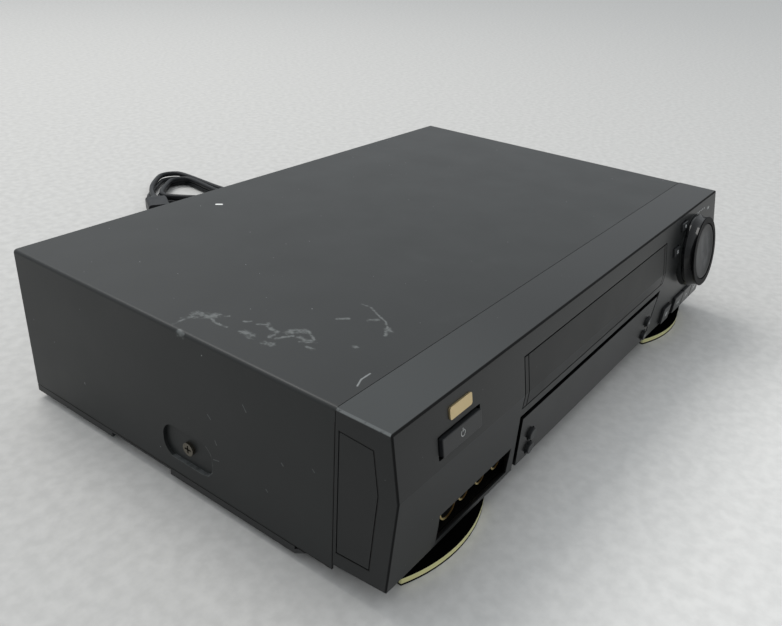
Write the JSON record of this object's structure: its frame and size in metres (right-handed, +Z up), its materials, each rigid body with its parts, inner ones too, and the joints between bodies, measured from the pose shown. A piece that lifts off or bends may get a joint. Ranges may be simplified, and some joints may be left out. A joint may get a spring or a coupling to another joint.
{
  "type": "video cassette recorder",
  "caption": "Home video cassette recorder: steel cover, creased fascia, hinged cassette door, jog and shuttle dial, keys, front sockets, tape deck inside and a tied mains cord.",
  "frame": {"origin": "middle of the footprint of the recorder without its cord, at the bottom of the feet", "axes": "+X to the right seen from the front, +Y to the rear, +Z up"},
  "size_m": [0.4, 0.5428, 0.094],
  "materials": {
    "cover_paint": "fine textured black paint",
    "fascia_plastic": "fine textured black moulding",
    "inset_plastic": "satin black moulding",
    "door_plastic": "satin black moulding",
    "key_plastic": "satin black moulding",
    "base_plastic": "black moulding",
    "foot_plastic": "black moulding",
    "gold_trim": "pale gold",
    "gold_plate": "gold plate",
    "smoke_window": "smoked window",
    "gloss_black": "gloss black moulding",
    "satin_grey": "satin dark grey",
    "zinc": "bronze passivated zinc",
    "rubber": "black rubber",
    "panel_paint": "black paint",
    "jack_plastic": "black moulding",
    "tin_plate": "tin plate",
    "circuit_board": "phenolic board",
    "ferrite": "ferrite and tape",
    "cable_white": "flat cable",
    "display_glass": "clear glass",
    "steel": "plated steel",
    "mech_plastic": "natural acetal",
    "aluminium": "machined",
    "brass": "die cast",
    "cord_black": "black flexible moulding"
  },
  "bodies": {
    "recorder": {"badge_bar": "gold_trim", "base_chassis": "base_plastic", "capstan_motor": "steel", "case_screws": "zinc", "cord_hank": "cord_black", "cord_lead": "cord_black", "deck_plate": "steel", "display_tube": "display_glass", "display_window": "smoke_window", "fixed_heads": "aluminium", "foot_trims": "gold_trim", "front_board": "circuit_board", "front_fascia": "fascia_plastic", "front_feet": "foot_plastic", "front_jack_block": "jack_plastic", "front_jack_shells": "gold_plate", "lift_brackets": "steel", "loading_motor": "steel", "lower_drum": "aluminium", "main_board": "circuit_board", "mains_plug": "cord_black", "power_board": "circuit_board", "power_transformer": "ferrite", "rear_feet": "rubber", "rear_jack_block": "jack_plastic", "rear_jack_shells": "gold_plate", "rear_panel": "panel_paint", "ribbon_cable": "cable_white", "side_insets": "inset_plastic", "strain_relief": "cord_black", "top_cover": "cover_paint", "tuner_module": "tin_plate"},
    "door": {"cassette_door": "door_plastic"},
    "lift_carriage": {"lift_slides": "mech_plastic"},
    "holder": {"cassette_holder": "steel"},
    "shuttle": {"shuttle_ring": "gloss_black"},
    "jog": {"jog_disc": "satin_grey"},
    "upper_drum": {"upper_drum": "aluminium"},
    "capstan": {"capstan_rotor": "steel"},
    "supply_reel": {"supply_reel": "mech_plastic"},
    "takeup_reel": {"takeup_reel": "mech_plastic"},
    "idler": {"idler_arm": "steel"},
    "idler_wheel": {"idler_wheel": "rubber"},
    "pinch": {"pinch_arm": "steel"},
    "pinch_roller": {"pinch_roller": "rubber"},
    "cam": {"cam_gear": "mech_plastic"},
    "worm": {"loading_worm": "mech_plastic"},
    "supply_guide": {"supply_guide": "brass"},
    "takeup_guide": {"takeup_guide": "brass"},
    "power_button": {"power_button": "key_plastic"},
    "stop_key": {"stop_key": "key_plastic"},
    "rewind_key": {"rewind_key": "key_plastic"},
    "play_key": {"play_key": "key_plastic"},
    "forward_key": {"forward_key": "key_plastic"},
    "record_key": {"record_key": "key_plastic"},
    "eject_key": {"eject_key": "key_plastic"},
    "menu_key": {"menu_key": "key_plastic"},
    "timer_key": {"timer_key": "key_plastic"},
    "channel_up_key": {"channel_up_key": "key_plastic"},
    "channel_down_key": {"channel_down_key": "key_plastic"}
  },
  "joints": [
    {"name": "door_hinge", "type": "hinge", "parent": "recorder", "child": "door", "pos_m": [0, -0.12022, 0.0865], "axis": [1, 0, 0], "range_deg": [0, 105], "stiffness_Nm_per_rad": 0.004, "springref_deg": -28.65},
    {"name": "lift_in", "type": "slide", "parent": "recorder", "child": "lift_carriage", "axis": [0, 1, 0], "range_m": [0, 0.036]},
    {"name": "lift_down", "type": "slide", "parent": "lift_carriage", "child": "holder", "axis": [0, 0, -1], "range_m": [0, 0.022]},
    {"name": "shuttle_turn", "type": "hinge", "parent": "recorder", "child": "shuttle", "pos_m": [0.1478, -0.12844, 0.064], "axis": [0, -0.9863, 0.165], "range_deg": [-75, 75], "stiffness_Nm_per_rad": 0.02},
    {"name": "jog_turn", "type": "hinge", "parent": "recorder", "child": "jog", "pos_m": [0.1478, -0.12844, 0.064], "axis": [0, -0.9863, 0.165], "continuous": true},
    {"name": "power_button_press", "type": "slide", "parent": "recorder", "child": "power_button", "axis": [0, 0.9863, -0.165], "range_m": [0, 0.0008], "stiffness_N_per_m": 600, "springref_m": -0.001},
    {"name": "stop_key_press", "type": "slide", "parent": "recorder", "child": "stop_key", "axis": [0, 0.9977, 0.0673], "range_m": [0, 0.0008], "stiffness_N_per_m": 600, "springref_m": -0.001},
    {"name": "rewind_key_press", "type": "slide", "parent": "recorder", "child": "rewind_key", "axis": [0, 0.9977, 0.0673], "range_m": [0, 0.0008], "stiffness_N_per_m": 600, "springref_m": -0.001},
    {"name": "play_key_press", "type": "slide", "parent": "recorder", "child": "play_key", "axis": [0, 0.9977, 0.0673], "range_m": [0, 0.0008], "stiffness_N_per_m": 600, "springref_m": -0.001},
    {"name": "forward_key_press", "type": "slide", "parent": "recorder", "child": "forward_key", "axis": [0, 0.9977, 0.0673], "range_m": [0, 0.0008], "stiffness_N_per_m": 600, "springref_m": -0.001},
    {"name": "record_key_press", "type": "slide", "parent": "recorder", "child": "record_key", "axis": [0, 0.9863, -0.165], "range_m": [0, 0.0008], "stiffness_N_per_m": 600, "springref_m": -0.001},
    {"name": "eject_key_press", "type": "slide", "parent": "recorder", "child": "eject_key", "axis": [0, 0.9863, -0.165], "range_m": [0, 0.0008], "stiffness_N_per_m": 600, "springref_m": -0.001},
    {"name": "menu_key_press", "type": "slide", "parent": "recorder", "child": "menu_key", "axis": [0, 0.9977, 0.0673], "range_m": [0, 0.0008], "stiffness_N_per_m": 600, "springref_m": -0.001},
    {"name": "timer_key_press", "type": "slide", "parent": "recorder", "child": "timer_key", "axis": [0, 0.9977, 0.0673], "range_m": [0, 0.0008], "stiffness_N_per_m": 600, "springref_m": -0.001},
    {"name": "channel_up_key_press", "type": "slide", "parent": "recorder", "child": "channel_up_key", "axis": [0, 0.9977, 0.0673], "range_m": [0, 0.0008], "stiffness_N_per_m": 600, "springref_m": -0.001},
    {"name": "channel_down_key_press", "type": "slide", "parent": "recorder", "child": "channel_down_key", "axis": [0, 0.9977, 0.0673], "range_m": [0, 0.0008], "stiffness_N_per_m": 600, "springref_m": -0.001},
    {"name": "drum_spin", "type": "hinge", "parent": "recorder", "child": "upper_drum", "pos_m": [0, 0.09058, 0.0366], "axis": [0, 0.1045, 0.9945], "continuous": true},
    {"name": "capstan_spin", "type": "hinge", "parent": "recorder", "child": "capstan", "pos_m": [0.058, 0.06058, 0.0316], "axis": [0, 0, 1], "continuous": true},
    {"name": "supply_reel_spin", "type": "hinge", "parent": "recorder", "child": "supply_reel", "pos_m": [-0.046, -0.00642, 0.0316], "axis": [0, 0, 1], "continuous": true},
    {"name": "takeup_reel_spin", "type": "hinge", "parent": "recorder", "child": "takeup_reel", "pos_m": [0.046, -0.00642, 0.0316], "axis": [0, 0, 1], "continuous": true},
    {"name": "idler_swing", "type": "hinge", "parent": "recorder", "child": "idler", "pos_m": [0, -0.02542, 0.0316], "axis": [0, 0, 1], "range_deg": [-26, 26]},
    {"name": "idler_wheel_spin", "type": "hinge", "parent": "idler", "child": "idler_wheel", "pos_m": [0, 0.00058, 0.0316], "axis": [0, 0, 1], "continuous": true},
    {"name": "pinch_swing", "type": "hinge", "parent": "recorder", "child": "pinch", "pos_m": [0.082, 0.06658, 0.0316], "axis": [0, 0, -1], "range_deg": [0, 25]},
    {"name": "pinch_roller_spin", "type": "hinge", "parent": "pinch", "child": "pinch_roller", "pos_m": [0.06857, 0.04574, 0.0316], "axis": [0, 0, 1], "continuous": true},
    {"name": "cam_turn", "type": "hinge", "parent": "recorder", "child": "cam", "pos_m": [-0.078, 0.09158, 0.038], "axis": [0, 0, 1], "range_deg": [0, 270]},
    {"name": "worm_turn", "type": "hinge", "parent": "recorder", "child": "worm", "pos_m": [-0.078, 0.11193, 0.04], "axis": [1, 0, 0], "range_deg": [0, 8640]},
    {"name": "supply_guide_run", "type": "slide", "parent": "recorder", "child": "supply_guide", "axis": [-0.3096, 0.9509, 0], "range_m": [0, 0.04522]},
    {"name": "takeup_guide_run", "type": "slide", "parent": "recorder", "child": "takeup_guide", "axis": [0.3096, 0.9509, 0], "range_m": [0, 0.04522]}
  ],
  "couplings": [
    {"joint": "worm_turn", "follows": "cam_turn", "ratio": 32},
    {"joint": "pinch_swing", "follows": "cam_turn", "ratio": 0.092593},
    {"joint": "supply_guide_run", "follows": "cam_turn", "m_per_rad": 0.0095954},
    {"joint": "takeup_guide_run", "follows": "cam_turn", "m_per_rad": 0.0095954}
  ]
}
